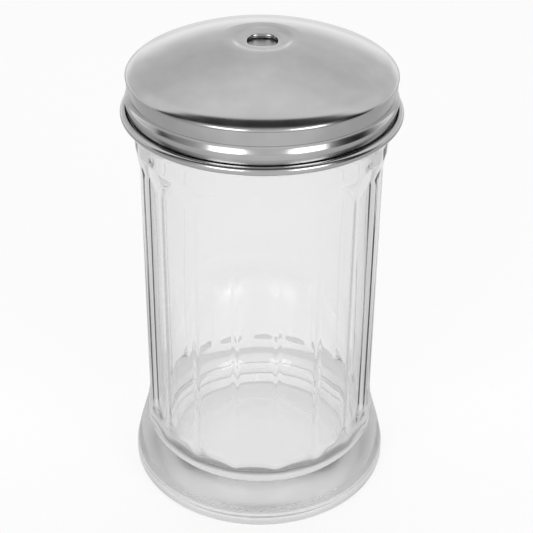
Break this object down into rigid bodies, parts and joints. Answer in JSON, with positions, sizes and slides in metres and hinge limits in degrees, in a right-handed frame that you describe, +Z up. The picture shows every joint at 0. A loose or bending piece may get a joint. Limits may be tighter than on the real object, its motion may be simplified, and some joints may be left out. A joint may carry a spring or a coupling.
{
  "type": "sugar dispenser",
  "caption": "Fluted glass sugar dispenser with a domed steel screw cap, and a weighted gravity flap on a wire hinge that closes the pour hole from inside.",
  "frame": {"origin": "centre of the circle the foot stands on, on the table", "axes": "+Z up along the jar's axis; -Y faces the viewer of the picture, towards the bowed edge of the pour hole; +Y towards the flap's hinge; +X to the right, along the hinge pin"},
  "size_m": [0.076, 0.076, 0.1366],
  "materials": {
    "glass": "clear pressed soda-lime glass, fire-polished",
    "cap_steel": "pressed stainless sheet, polished with a soft satin haze",
    "flap_steel": "stamped stainless sheet as rolled",
    "wire_steel": "drawn stainless wire with peened heads",
    "weight_steel": "turned stainless slug"
  },
  "bodies": {
    "jar": {"glass_jar": "glass"},
    "cap": {"dome_cap": "cap_steel", "flap_cradle": "flap_steel", "hinge_pin": "wire_steel"},
    "flap": {"flap_plate": "flap_steel", "counterweight": "weight_steel", "counterweight_rivet": "wire_steel"}
  },
  "joints": [
    {"name": "cap_lift", "type": "slide", "parent": "jar", "child": "cap", "axis": [0, 0, 1], "range_m": [0, 0.04]},
    {"name": "flap_swing", "type": "hinge", "parent": "cap", "child": "flap", "pos_m": [0, 0.0075, 0.133], "axis": [1, 0, 0], "range_deg": [0, 32]}
  ]
}
